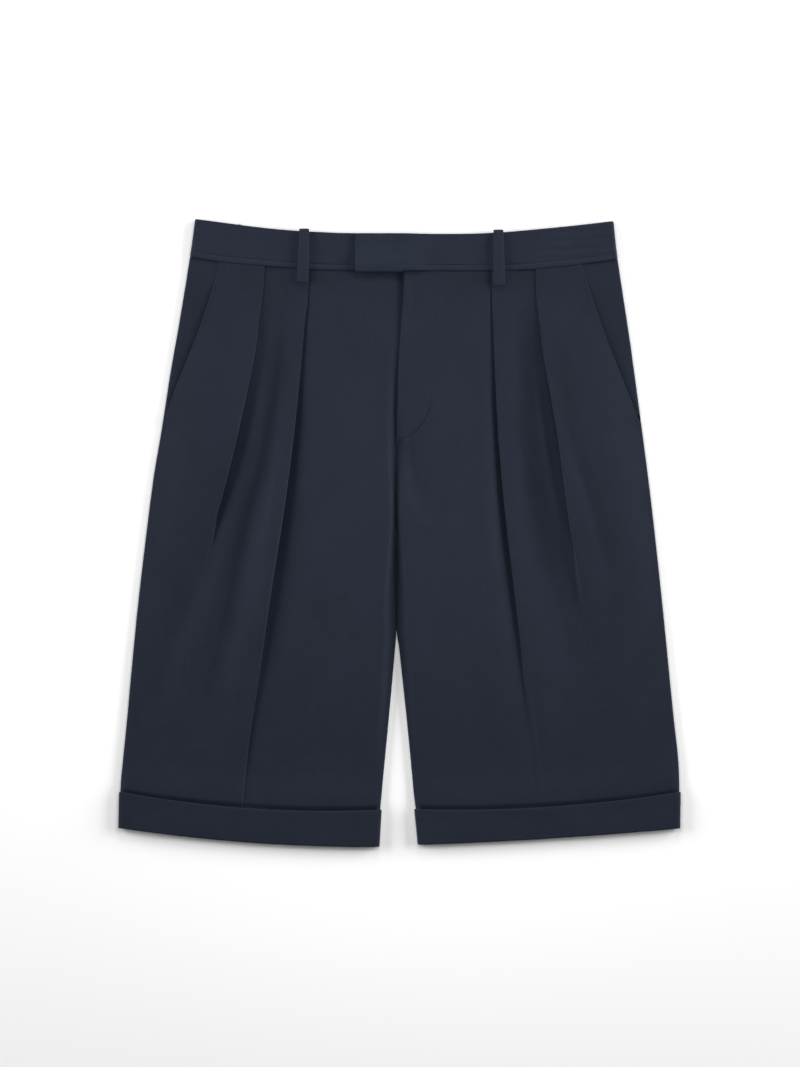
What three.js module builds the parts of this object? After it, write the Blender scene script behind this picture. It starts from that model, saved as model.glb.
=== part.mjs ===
// Pleated bermuda shorts with turn-up cuffs, laid flat on their back with the front facing up.
// Units are millimetres. +Y runs up towards the waist, +Z up out of the front, and left is -X.
// The origin is on the surface, under the middle of the laid-out garment.

import * as THREE from 'three';

const { lerp, smoothstep, degToRad } = THREE.MathUtils;

// Cloth and layers
const CLOTH = 1.0; // wall of the body cloth
const BAND_CLOTH = 1.8; // interfaced waistband
const CUFF_CLOTH = 1.2;
const LOOP_CLOTH = 1.3;
const SEAM = 0.3; // clearance between neighbouring pieces
const TUBE = 4.4; // height of a leg's rounded edge
const BAND_TUBE = 6.0; // height of the waistband's rounded edge
const EDGE_LEVEL = TUBE - CLOTH / 2; // middle of the front cloth where it lies plain
const WAIST_LEVEL = 3.6; // the same along the waist seam, where the pleats are sewn flat
const PLATEAU_RISE = 0.7; // how far the cloth beside the fly stands above that
const CUFF_LIFT = CUFF_CLOTH + SEAM; // a leg is held up by the cuff under it
const LIP_RISE = 1.8; // how far the foot of a cuff folds up inside under the leg
const BACK_LOOP_CLOTH = 1.2;
const LOOP_LIFT = BACK_LOOP_CLOTH + SEAM; // the back waistband is held up by the loops under it
const HALF_TUBE = (TUBE - CLOTH - SEAM) / 2; // radius of a leg's rounded edge
const FULL_TURN = Math.PI / 2;

// Levels down the garment
const WAIST_SEAM_Y = 262;
const BAND_HEIGHT = 37.4;
const WAIST_RISE = 13; // the sides of the waist stand this far above its middle
const WAIST_HALF = 210;
const POCKET_FOOT_Y = 108;
const FLY_FOOT_Y = 93;
const CROTCH_Y = -42;
const SPLIT_Y = -101; // where the legs part
const CENTRING = [0.5, 0.35]; // moves the middle of the outline to the origin

// Front closure. The waistband's front runs level on the left and climbs on to the tab on the right:
// climb is the share of the way up to the tab.
const FLY_LAP = 10; // how far the left front runs under the fly
const TAB_DROP = 1.4; // the tab hangs a little below the seam
const BAND_FRONT = {
  left: [
    { x: -150, climb: 0 },
    { x: -98, climb: 0 },
    { x: -48, climb: 0 },
    { x: 1, climb: 0 },
  ],
  right: [
    { x: 150, climb: 0 },
    { x: 98, climb: 0 },
    { x: 60, climb: 0 },
    { x: 34, climb: 0 },
    { x: 24, climb: 0.3 },
    { x: 12, climb: 0.85 },
    { x: 4, climb: 1 },
    { x: -20, climb: 1 },
    { x: -45, climb: 1 },
  ],
};

// Belt loops
const LOOP_WIDTH = 11.5;
const LOOPS = [
  { name: 'belt_loop_front_left', x: -96.2, front: true, top: 2.2, below: 10.6 },
  { name: 'belt_loop_front_right', x: 98.8, front: true, top: 2.0, below: 14.2 },
  { name: 'belt_loop_back_left', x: -165, front: false, top: 0, below: 13 },
  { name: 'belt_loop_back_centre', x: 2.8, front: false, top: 0, below: 13 },
  { name: 'belt_loop_back_right', x: 165, front: false, top: 0, below: 13 },
];
const LOOP_FLAT = 8; // half width of the part of the back waistband that a loop holds up
const LOOP_FADE = 19;

// Centre front and fly edge
const CENTRE = [
  { y: 312, x: 3.5 },
  { y: 262, x: 2.5 },
  { y: 217, x: 0 },
  { y: 177, x: -2.5 },
  { y: 137, x: -3.5 },
  { y: 57, x: -4.2 },
  { y: -101, x: -3.6 },
];

// Each side of the garment. u is the distance from x = 0 outwards.
// A pleat's edge stands on top: drop is its height over the cloth beside it, and overlap how deep it
// folds under. A negative overlap is an open slope of that width.
const SIDES = [
  {
    name: 'left',
    sign: -1,
    outline: [
      { y: 312, u: 203 },
      { y: 262, u: 210.5 },
      { y: 173, u: 227 },
      { y: 53, u: 247 },
      { y: -67, u: 261 },
      { y: -187, u: 273 },
      { y: -250, u: 278.8 },
      { y: -312, u: 280 },
    ],
    inseam: [
      { y: CROTCH_Y, u: 4.2 },
      { y: SPLIT_Y, u: 4.2 },
      { y: -127, u: 6.8 },
      { y: -187, u: 12.2 },
      { y: -247, u: 18 },
      { y: -268, u: 20.3 },
      { y: -312, u: 23.2 },
    ],
    pocket: [
      { y: 262, u: 180.5 },
      { y: 235, u: 189 },
      { y: 184, u: 211 },
      { y: 144, u: 227.5 },
      { y: POCKET_FOOT_Y, u: 237.6 },
    ],
    outerPleat: [
      { y: 262, u: 134.5, drop: 2.8, overlap: 14 },
      { y: 177, u: 144, drop: 2.9, overlap: 11 },
      { y: 97, u: 161, drop: 2.9, overlap: 5 },
      { y: 17, u: 180, drop: 2.3, overlap: -4 },
      { y: -67, u: 197, drop: 1.1, overlap: -10 },
      { y: -150, u: 207, drop: 0.5, overlap: -14 },
      { y: -312, u: 214, drop: 0.2, overlap: -14 },
    ],
    innerPleat: [
      { y: 262, u: 91, drop: 2.8, overlap: 14 },
      { y: 177, u: 96, drop: 2.9, overlap: 12 },
      { y: 97, u: 104, drop: 3.0, overlap: 8 },
      { y: 17, u: 114.5, drop: 3.0, overlap: 2 },
      { y: -63, u: 126.5, drop: 2.5, overlap: -3 },
      { y: -143, u: 138.5, drop: 1.7, overlap: -5 },
      { y: -223, u: 151.5, drop: 0.8, overlap: -6 },
      { y: -312, u: 162, drop: 0.2, overlap: -7 },
    ],
    cuffTop: { outer: -258.6, inner: -276.4, sag: 7.5 },
    cuffFoot: { outer: -295, inner: -313.5, sag: 5.8 },
  },
  {
    name: 'right',
    sign: 1,
    outline: [
      { y: 312, u: 212 },
      { y: 262, u: 217.5 },
      { y: 173, u: 231.5 },
      { y: 53, u: 248.3 },
      { y: -67, u: 261.5 },
      { y: -187, u: 272.8 },
      { y: -250, u: 278.6 },
      { y: -312, u: 278.5 },
    ],
    inseam: [
      { y: CROTCH_Y, u: -3.4 },
      { y: SPLIT_Y, u: -3 },
      { y: -127, u: 0.6 },
      { y: -187, u: 7 },
      { y: -247, u: 13.4 },
      { y: -268, u: 15.8 },
      { y: -312, u: 20.3 },
    ],
    pocket: [
      { y: 262, u: 182 },
      { y: 235, u: 192.5 },
      { y: 184, u: 212.5 },
      { y: 144, u: 228.5 },
      { y: POCKET_FOOT_Y, u: 240.6 },
    ],
    outerPleat: [
      { y: 262, u: 135, drop: 2.8, overlap: 14 },
      { y: 177, u: 141, drop: 2.9, overlap: 11 },
      { y: 97, u: 155, drop: 2.9, overlap: 5 },
      { y: 17, u: 166, drop: 2.4, overlap: -4 },
      { y: -67, u: 184, drop: 1.2, overlap: -10 },
      { y: -150, u: 200, drop: 0.5, overlap: -14 },
      { y: -312, u: 216, drop: 0.2, overlap: -14 },
    ],
    innerPleat: [
      { y: 262, u: 91, drop: 2.8, overlap: 14 },
      { y: 177, u: 91.3, drop: 2.9, overlap: 12 },
      { y: 97, u: 95, drop: 3.0, overlap: 8 },
      { y: 17, u: 102.5, drop: 2.9, overlap: 2 },
      { y: -63, u: 113, drop: 2.4, overlap: -3 },
      { y: -143, u: 127, drop: 1.6, overlap: -5 },
      { y: -223, u: 138, drop: 0.7, overlap: -6 },
      { y: -312, u: 143, drop: 0.2, overlap: -7 },
    ],
    cuffTop: { outer: -258.6, inner: -275.8, sag: 5.5 },
    cuffFoot: { outer: -295.5, inner: -311.6, sag: 3.2 },
  },
];

// Soft folds that lie between and below the pleats. rise is at the middle of each.
const SOFT_FOLDS = [
  { side: 'left', fromU: 150, fromY: 140, toU: 196, toY: -190, width: 15, rise: -0.8 },
  { side: 'left', fromU: 226, fromY: -30, toU: 250, toY: -150, width: 16, rise: -0.5 },
  { side: 'left', fromU: 60, fromY: -60, toU: 88, toY: -220, width: 26, rise: 0.5 },
  { side: 'right', fromU: 122, fromY: 140, toU: 182, toY: -150, width: 15, rise: -0.8 },
  { side: 'right', fromU: 222, fromY: 10, toU: 240, toY: -130, width: 16, rise: -0.5 },
  { side: 'right', fromU: 56, fromY: -50, toU: 84, toY: -210, width: 26, rise: 0.5 },
];

const NAVY = { color: 0x2b303c, roughness: 0.88, metalness: 0 };

// Levels of the rows of points, closer together where something starts or ends
const FRONT_LEVELS = [
  WAIST_SEAM_Y, 248, 230, 204, 174, 142, POCKET_FOOT_Y + 6, POCKET_FOOT_Y - 6, FLY_FOOT_Y,
  FLY_FOOT_Y - 9, 62, 34, 0, CROTCH_Y, -72, SPLIT_Y, -138, -180,
];
const BACK_LEVELS = [WAIST_SEAM_Y, 251, 247, 235, 174, 80, 8, -18, CROTCH_Y, SPLIT_Y, -150];
const PANEL_LEVELS = [WAIST_SEAM_Y, 248, 230, 204, 174, 142, POCKET_FOOT_Y + 8];

// Value of one column of a table at any y, by a smooth curve through its rows.
function column(rows, name) {
  const count = rows.length;
  const slope = rows.map((row, i) => {
    const a = rows[Math.max(i - 1, 0)];
    const b = rows[Math.min(i + 1, count - 1)];
    return (b[name] - a[name]) / (b.y - a.y);
  });
  return (y) => {
    let i = 0;
    while (i < count - 2 && y < rows[i + 1].y) i += 1;
    const span = rows[i + 1].y - rows[i].y;
    const t = (y - rows[i].y) / span;
    if (t <= 0) return rows[i][name];
    if (t >= 1) return rows[i + 1][name];
    const t2 = t * t;
    const t3 = t2 * t;
    return (
      (2 * t3 - 3 * t2 + 1) * rows[i][name] +
      (t3 - 2 * t2 + t) * span * slope[i] +
      (3 * t2 - 2 * t3) * rows[i + 1][name] +
      (t3 - t2) * span * slope[i + 1]
    );
  };
}

const centreX = column(CENTRE, 'x');

for (const side of SIDES) {
  side.outlineAt = column(side.outline, 'u');
  side.inseamAt = column(side.inseam, 'u');
  side.pocketAt = column(side.pocket, 'u');
  side.centreAt = (y) => side.sign * centreX(y);
  // Inner edge: the centre seam down to the crotch, then the inseam.
  side.innerAt = (y) =>
    lerp(side.inseamAt(y), side.centreAt(y), smoothstep(y, CROTCH_Y, CROTCH_Y + 50));
  side.pleats = [side.outerPleat, side.innerPleat].map((rows) => ({
    u: column(rows, 'u'),
    drop: column(rows, 'drop'),
    overlap: column(rows, 'overlap'),
  }));
  side.folds = SOFT_FOLDS.filter((fold) => fold.side === side.name);
}

// Height of a leg's hem curve. s runs from 0 at the outer edge to 1 at the inner one.
const hemCurve = (hem, s) => lerp(hem.outer, hem.inner, s) - 4 * hem.sag * s * (1 - s);

// How far across the leg a point lies, from 0 at the side to 1 at the inseam.
function across(side, u, y) {
  const outer = side.outlineAt(y);
  return THREE.MathUtils.clamp((outer - u) / (outer - side.inseamAt(y)), 0, 1);
}

// True y of a point whose row is at level y: rows follow the waist's curve above and the hem's below.
function warp(side, u, y) {
  const waist = WAIST_RISE * (u / WAIST_HALF) ** 2 * smoothstep(y, 60, WAIST_SEAM_Y);
  const s = across(side, u, y);
  const top = side.cuffTop.inner;
  const foot = side.cuffFoot.inner;
  const topShift = hemCurve(side.cuffTop, s) - top;
  const footShift = hemCurve(side.cuffFoot, s) - foot;
  if (y < top) return y + lerp(topShift, footShift, (top - y) / (top - foot));
  return y + waist + topShift * THREE.MathUtils.clamp((60 - y) / (60 - top), 0, 1) ** 2;
}

// A leg rises on to its cuff just above the cuff's top edge.
function cuffLift(side, y) {
  return CUFF_LIFT * smoothstep(-(y - side.cuffTop.inner), -14, -3);
}

// The back rises over the belt loops that lie under it.
function loopLift(x, y) {
  let share = 0;
  for (const loop of LOOPS.filter((l) => !l.front)) {
    const lowEnd = WAIST_SEAM_Y - loop.below;
    const near = 1 - smoothstep(Math.abs(x - loop.x), LOOP_FLAT, LOOP_FADE);
    share = Math.max(share, near * smoothstep(y, lowEnd - 14, lowEnd - 2));
  }
  return LOOP_LIFT * share;
}

// Sections are drawn in the plane across the garment, as points [p, z] with p running inwards.

// Corners of a bend of unit radius that starts level and turns down by an angle. The corners lie
// where tangents of the bend meet, so its first and last lines run along the cloth on either side.
function bend(angle) {
  const corners = 3;
  const half = angle / corners / 2;
  const points = [[0, 0]];
  for (let k = 0; k < corners; k += 1) {
    const turn = (2 * k + 1) * half;
    points.push([Math.sin(turn) / Math.cos(half), Math.cos(turn) / Math.cos(half) - 1]);
  }
  points.push([Math.sin(angle), Math.cos(angle) - 1]);
  return points;
}

// The S of a fold: over its edge, back under it, and on along the cloth beside it.
function foldPath(start, crest, drop, overlap) {
  const softest = 4;
  const run = Math.min(overlap, 0);
  const radius = Math.min(softest, (0.92 * (run * run + drop * drop)) / (4 * drop));
  const downCentres = 2 * radius - drop;
  const turn =
    Math.asin((2 * radius) / Math.hypot(overlap, downCentres)) - Math.atan2(downCentres, -overlap);
  const corners = bend(turn).map(([p, z]) => [radius * p, radius * z]);
  const over = corners.map(([p, z]) => [start + p, crest + z]);
  const under = corners.map(([p, z]) => [start - overlap - p, crest - drop - z]);
  return [...over, ...under.reverse()];
}

// Points strictly between two others, eased in height.
function bridge(from, to, count) {
  const points = [];
  for (let k = 1; k <= count; k += 1) {
    const t = k / (count + 1);
    points.push([lerp(from[0], to[0], t), lerp(from[1], to[1], smoothstep(t, 0, 1))]);
  }
  return points;
}

// A cloth edge from its flat to its end, turned down by an angle (or up, if rise is 1).
// inwards is 1 if the flat lies on the side of smaller p.
function turnedEdge(end, z, angle, inwards, rise = -1) {
  const leastTurn = 0.02;
  const turn = Math.max(angle, leastTurn);
  const radius = (HALF_TUBE * FULL_TURN) / turn;
  const last = end - inwards * (CLOTH / 2) * Math.sin(angle);
  const width = radius * Math.sin(turn);
  return bend(turn).map(([p, drop]) => [
    last - inwards * (width - radius * p),
    z - rise * radius * drop,
  ]);
}

// Height that the soft folds add at a point.
function softRise(side, u, y) {
  let rise = 0;
  for (const fold of side.folds) {
    const t = (fold.fromY - y) / (fold.fromY - fold.toY);
    if (t <= 0 || t >= 1) continue;
    const away = (u - lerp(fold.fromU, fold.toU, t)) / fold.width;
    rise += fold.rise * Math.exp(-away * away) * Math.sin(Math.PI * t);
  }
  const fromSide = smoothstep(side.outlineAt(y) - u, 4, 18);
  const fromInseam = smoothstep(u - side.innerAt(y), 4, 18);
  return rise * fromSide * fromInseam;
}

// Middle of the front cloth at a level: lower where it is sewn to the waistband.
const frontLevel = (y) => lerp(EDGE_LEVEL, WAIST_LEVEL, smoothstep(y, 236, WAIST_SEAM_Y));

// One row of a front panel, from its side edge to its centre.
function frontSection(side, y) {
  const level = frontLevel(y);
  const aboveCuff = smoothstep(y, -250, -150);
  const laps = side.sign < 0;

  const pocketLevel = TUBE + SEAM + CLOTH / 2;
  const sideEdge =
    y > POCKET_FOOT_Y
      ? turnedEdge(-side.pocketAt(y), pocketLevel, 0, -1)
      : turnedEdge(-side.outlineAt(y), EDGE_LEVEL, FULL_TURN, -1);
  sideEdge.reverse();

  const flyLevel = laps ? TUBE - CLOTH - SEAM : TUBE;
  const belowFly = smoothstep(-y, 9 - FLY_FOOT_Y, 30 - FLY_FOOT_Y);
  const turnShare = smoothstep(-y, 20 - FLY_FOOT_Y, -CROTCH_Y);
  const centre = -side.innerAt(y) - SEAM / 2;
  const centreEdge = turnedEdge(
    laps && y >= FLY_FOOT_Y ? centre + FLY_LAP : centre,
    lerp(flyLevel, EDGE_LEVEL, belowFly),
    FULL_TURN * turnShare,
    1,
  );

  const [outer, inner] = side.pleats.map((pleat) => {
    const drop = pleat.drop(y);
    const overlap = pleat.overlap(y);
    const crest = level + (aboveCuff * drop) / 2;
    const start = -pleat.u(y) - 1.2 + Math.min(overlap, 0) / 4;
    const path = foldPath(start, crest, drop, overlap);
    const landing = Math.max(start + 3, path.at(-1)[0] + 1.5);
    const lead = Math.min(start - 3, path.at(-1)[0] - 3);
    return { lead: [lead, crest], path, landing: [landing, crest - drop] };
  });
  const plateau = [
    lerp(inner.landing[0], centreEdge[0][0], 0.5),
    level + PLATEAU_RISE * aboveCuff,
  ];

  return [
    ...sideEdge,
    ...bridge(sideEdge.at(-1), outer.lead, 3),
    outer.lead,
    ...outer.path,
    outer.landing,
    ...bridge(outer.landing, inner.lead, 2),
    inner.lead,
    ...inner.path,
    inner.landing,
    ...bridge(inner.landing, plateau, 1),
    plateau,
    ...bridge(plateau, centreEdge[0], 2),
    ...centreEdge,
  ];
}

// Where the lift of the belt loops starts and ends across one side of the back, from the side in.
function loopSpots(side) {
  const reaches = [-LOOP_FADE, -LOOP_FLAT, LOOP_FLAT, LOOP_FADE];
  return LOOPS.filter((loop) => !loop.front)
    .flatMap((loop) => reaches.map((reach) => side.sign * (loop.x + reach)))
    .filter((u) => u > 4)
    .sort((a, b) => b - a);
}

// One row of a back panel: flat on the surface, its edges turned up to meet the front.
function backSection(side, y) {
  const level = CLOTH / 2;
  const sideEdge = turnedEdge(-side.outlineAt(y), level, FULL_TURN, -1, 1).reverse();
  const turnShare = smoothstep(-y, -CROTCH_Y - 50, -CROTCH_Y);
  const centreEdge = turnedEdge(-side.innerAt(y) - SEAM / 2, level, FULL_TURN * turnShare, 1, 1);
  const spots = loopSpots(side);
  const closest = 1.5;
  const flat = spots.map((u, i) => [
    Math.min(-u, centreEdge[0][0] - closest * (spots.length - i)),
    level,
  ]);
  return [...sideEdge, ...flat, ...centreEdge];
}

// One row of the side panel behind a slant pocket, from the side edge to under the front's edge.
function sidePanelSection(side, y) {
  const sideEdge = turnedEdge(-side.outlineAt(y), EDGE_LEVEL, FULL_TURN, -1).reverse();
  const underlap = lerp(4, 14, smoothstep(y, POCKET_FOOT_Y, 180));
  const end = [-side.pocketAt(y) + underlap, EDGE_LEVEL];
  return [...sideEdge, ...bridge(sideEdge.at(-1), end, 3), end];
}

// Offsets a section to both faces of its wall, in its own plane. Returns [outer, inner] points.
function offsetSection(points, thickness) {
  const widestMiter = 1.3;
  const faces = [[], []];
  points.forEach((point, i) => {
    const before = points[Math.max(i - 1, 0)];
    const after = points[Math.min(i + 1, points.length - 1)];
    const a = new THREE.Vector2(point[0] - before[0], point[1] - before[1]).normalize();
    const b = new THREE.Vector2(after[0] - point[0], after[1] - point[1]).normalize();
    if (i === 0) a.copy(b);
    if (i === points.length - 1) b.copy(a);
    const along = a.clone().add(b).normalize();
    const miter = Math.min(widestMiter, 1 / Math.max(along.dot(a), 0.01));
    const reach = (thickness / 2) * miter;
    faces[0].push([point[0] - along.y * reach, point[1] + along.x * reach]);
    faces[1].push([point[0] + along.y * reach, point[1] - along.x * reach]);
  });
  return faces;
}

// Turns triangles that face inwards outwards.
function facingOut(positions, index) {
  const a = new THREE.Vector3();
  const b = new THREE.Vector3();
  const c = new THREE.Vector3();
  let volume = 0;
  for (let i = 0; i < index.length; i += 3) {
    a.fromArray(positions, 3 * index[i]);
    b.fromArray(positions, 3 * index[i + 1]);
    c.fromArray(positions, 3 * index[i + 2]);
    volume += a.dot(b.cross(c));
  }
  return volume < 0 ? index.slice().reverse() : index;
}

function geometryOf(positions, index) {
  const geometry = new THREE.BufferGeometry();
  geometry.setAttribute('position', new THREE.Float32BufferAttribute(positions, 3));
  geometry.setIndex(facingOut(positions, index));
  geometry.computeVertexNormals();
  return geometry;
}

// A closed wall from two matching grids of points, one for each face.
function wall(outerRows, innerRows) {
  const rows = outerRows.length;
  const columns = outerRows[0].length;
  const positions = [outerRows, innerRows].flat(3);
  const at = (face, row, col) => (face * rows + row) * columns + col;
  const index = [];
  const quad = (a, b, c, d) => index.push(a, b, c, a, c, d);
  for (let j = 0; j < rows - 1; j += 1) {
    for (let i = 0; i < columns - 1; i += 1) {
      quad(at(0, j, i), at(0, j, i + 1), at(0, j + 1, i + 1), at(0, j + 1, i));
      quad(at(1, j, i), at(1, j + 1, i), at(1, j + 1, i + 1), at(1, j, i + 1));
    }
    const last = columns - 1;
    quad(at(0, j, 0), at(0, j + 1, 0), at(1, j + 1, 0), at(1, j, 0));
    quad(at(0, j, last), at(1, j, last), at(1, j + 1, last), at(0, j + 1, last));
  }
  for (let i = 0; i < columns - 1; i += 1) {
    const last = rows - 1;
    quad(at(0, 0, i), at(1, 0, i), at(1, 0, i + 1), at(0, 0, i + 1));
    quad(at(0, last, i), at(0, last, i + 1), at(1, last, i + 1), at(1, last, i));
  }
  return geometryOf(positions, index);
}

// Lofts a panel through sections at the given levels.
function panel(side, levels, section, thickness, raise) {
  const faces = [[], []];
  for (const y of levels) {
    const centre = section(side, y).map(([p, z]) => [p, z + raise(side, -p, y)]);
    offsetSection(centre, thickness).forEach((points, face) => {
      const row = points.map(([p, z], i) => {
        const u = -centre[i][0];
        return [-side.sign * p, warp(side, u, y), z];
      });
      faces[face].push(row);
    });
  }
  return wall(...faces);
}

// Levels of a whole leg's rows: those given, and the ones that take it over and into its cuff.
function levelsOf(side, above) {
  const top = side.cuffTop.inner;
  const foot = side.cuffFoot.inner + LIP_RISE + 1;
  return [...above, top + 56, top + 30, top + 14, top + 3, top - 3, foot];
}

const frontRaise = (side, u, y) => cuffLift(side, y) + softRise(side, u, y);
const backRaise = (side, u, y) => cuffLift(side, y) + loopLift(side.sign * u, y);

// One row of a waistband half, from centre back round the side to its end at centre front.
function bandSection(side, y) {
  const radius = (BAND_TUBE - BAND_CLOTH) / 2;
  const backLevel = BAND_CLOTH / 2;
  const frontLevelHere = BAND_TUBE - BAND_CLOTH / 2;
  const tabLevel = frontLevelHere + BAND_CLOTH + SEAM;
  const centre = side.centreAt(y) + SEAM / 2;
  const spots = loopSpots(side);
  const besideTurn = side.outlineAt(y) - 2 * BAND_TUBE;
  const back = [besideTurn, ...spots, lerp(spots.at(-1), centre, 0.5), centre]
    .reverse()
    .map((u) => [-u, backLevel + loopLift(side.sign * u, y)]);
  const outer = BAND_TUBE / 2 - side.outlineAt(y);
  const turn = bend(Math.PI)
    .map(([p, z]) => [outer - radius * p, frontLevelHere + radius * z])
    .reverse();
  const front = BAND_FRONT[side.name].map(({ x, climb }) => [
    -side.sign * x,
    lerp(frontLevelHere, tabLevel, climb),
  ]);
  return [...back, ...turn, ...front];
}

function waistband(side) {
  const bottom = WAIST_SEAM_Y + SEAM;
  const levels = [bottom, bottom + BAND_HEIGHT / 2, bottom + BAND_HEIGHT];
  const faces = [[], []];
  for (const y of levels) {
    const centre = bandSection(side, y);
    offsetSection(centre, BAND_CLOTH).forEach((points, face) => {
      const row = points.map(([p, z], i) => {
        const u = -centre[i][0];
        const rise = WAIST_RISE * (u / WAIST_HALF) ** 2;
        const hang = y === bottom && z > BAND_TUBE ? TAB_DROP : 0;
        return [-side.sign * p, y + rise - hang, z];
      });
      faces[face].push(row);
    });
  }
  return wall(...faces);
}

// A front belt loop hooks over the waistband's top edge and is sewn down below its seam.
function frontLoop(loop) {
  const rise = WAIST_RISE * (loop.x / WAIST_HALF) ** 2;
  const bandTop = WAIST_SEAM_Y + SEAM + BAND_HEIGHT + rise;
  const high = bandTop + loop.top - LOOP_CLOTH / 2;
  const low = WAIST_SEAM_Y + rise - loop.below;
  const clear = BAND_TUBE + SEAM + LOOP_CLOTH / 2 + 0.4;
  const path = [
    [high, 3.6],
    [high, clear - 0.9],
    [high - 0.5, clear - 0.2],
    [high - 1.4, clear],
    [lerp(high, low, 0.35), clear + 0.9],
    [lerp(high, low, 0.65), clear + 0.8],
    [low + 4, clear + 0.35],
    [low + 1.5, clear + 0.1],
    [low + 0.4, clear - 0.05],
  ];
  const [outer, inner] = offsetSection(path, LOOP_CLOTH);
  const place = (points) =>
    [-1, 1].map((edge) => points.map(([y, z]) => [loop.x + (edge * LOOP_WIDTH) / 2, y, z]));
  return wall(place(outer), place(inner));
}

// A back belt loop lies flat under the back waistband.
function backLoop(loop) {
  const rise = WAIST_RISE * (loop.x / WAIST_HALF) ** 2;
  const thick = BACK_LOOP_CLOTH;
  const bevel = 0.35;
  const high = WAIST_SEAM_Y + SEAM + BAND_HEIGHT + rise + loop.top;
  const low = WAIST_SEAM_Y + rise - loop.below;
  const outline = new THREE.Shape();
  const half = LOOP_WIDTH / 2;
  outline.moveTo(-half, 0);
  outline.lineTo(half, 0);
  outline.lineTo(half, thick - bevel);
  outline.lineTo(half - bevel, thick);
  outline.lineTo(bevel - half, thick);
  outline.lineTo(-half, thick - bevel);
  outline.closePath();
  const geometry = new THREE.ExtrudeGeometry(outline, { depth: high - low, bevelEnabled: false });
  geometry.rotateX(Math.PI / 2);
  geometry.translate(loop.x, high, 0);
  return geometry;
}

// A turn-up: a ring round the leg whose foot folds in under the leg's cut edge.
function cuff(side) {
  const tube = TUBE + 2 * CUFF_LIFT;
  const radius = tube / 2;
  const lip = CUFF_CLOTH + SEAM + CLOTH;
  const flats = 12;
  const turns = 7;
  const foot = side.cuffFoot;
  const top = side.cuffTop;
  const outerEdge = (y) => side.outlineAt(y) + CUFF_LIFT;
  const innerEdge = (y) => side.inseamAt(y) - CUFF_LIFT;
  const profile = [
    { inset: 0, share: 0, up: 0.9 },
    { inset: 0.5, share: 0, up: 0.2 },
    { inset: lip / 2, share: 0, up: 0 },
    { inset: lip - 0.3, share: 0, up: 0.3 },
    { inset: lip, share: 0, up: LIP_RISE },
    { inset: CUFF_CLOTH, share: 0, up: LIP_RISE },
    { inset: CUFF_CLOTH, share: 1, up: 0 },
    { inset: 0, share: 1, up: 0 },
  ];
  // Stations round the ring: where each lies across the leg, and its outward direction.
  const stations = [];
  for (let k = 0; k < flats; k += 1) stations.push({ s: k / flats, angle: 90 });
  for (let k = 0; k < turns; k += 1) stations.push({ s: 1, angle: 90 - (180 * k) / turns });
  for (let k = 0; k < flats; k += 1) stations.push({ s: 1 - k / flats, angle: -90 });
  for (let k = 0; k < turns; k += 1) stations.push({ s: 0, angle: -90 - (180 * k) / turns });

  const positions = [];
  for (const { s, angle } of stations) {
    for (const { inset, share, up } of profile) {
      const level = lerp(foot.inner, top.inner, share) + up;
      const reach = radius - inset;
      const from = outerEdge(level) - radius;
      const to = innerEdge(level) + radius;
      const u = lerp(from, to, s) - reach * Math.cos(degToRad(angle));
      const z = radius + reach * Math.sin(degToRad(angle));
      const y = lerp(hemCurve(foot, s), hemCurve(top, s), share) + up;
      positions.push(side.sign * u, y, z);
    }
  }
  const around = stations.length;
  const steps = profile.length;
  const index = [];
  for (let j = 0; j < around; j += 1) {
    for (let i = 0; i < steps; i += 1) {
      const a = j * steps + i;
      const b = j * steps + ((i + 1) % steps);
      const c = ((j + 1) % around) * steps + ((i + 1) % steps);
      const d = ((j + 1) % around) * steps + i;
      index.push(a, b, c, a, c, d);
    }
  }
  return geometryOf(positions, index);
}

const shorts = new THREE.Group();
shorts.position.set(...CENTRING, 0);

function add(name, geometry) {
  const mesh = new THREE.Mesh(geometry, new THREE.MeshStandardMaterial(NAVY));
  mesh.name = name;
  shorts.add(mesh);
}

for (const side of SIDES) {
  const frontLevels = levelsOf(side, FRONT_LEVELS);
  const backLevels = levelsOf(side, BACK_LEVELS);
  add(`front_${side.name}`, panel(side, frontLevels, frontSection, CLOTH, frontRaise));
  add(`back_${side.name}`, panel(side, backLevels, backSection, CLOTH, backRaise));
  add(`side_panel_${side.name}`, panel(side, PANEL_LEVELS, sidePanelSection, CLOTH, () => 0));
  add(`waistband_${side.name}`, waistband(side));
  add(`cuff_${side.name}`, cuff(side));
}
for (const loop of LOOPS) add(loop.name, loop.front ? frontLoop(loop) : backLoop(loop));

export default shorts;
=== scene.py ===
"""Looks of the pleated bermuda shorts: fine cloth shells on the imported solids, thread work and light.

Lengths are in millimetres until a mesh is made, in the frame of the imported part: +Y runs up towards
the waist, +Z up out of the front, and left is -X. Every piece is soft cloth laid flat on the floor.
"""

import math

import bpy
import numpy as np
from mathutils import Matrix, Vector, noise
from mathutils.bvhtree import BVHTree


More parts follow.
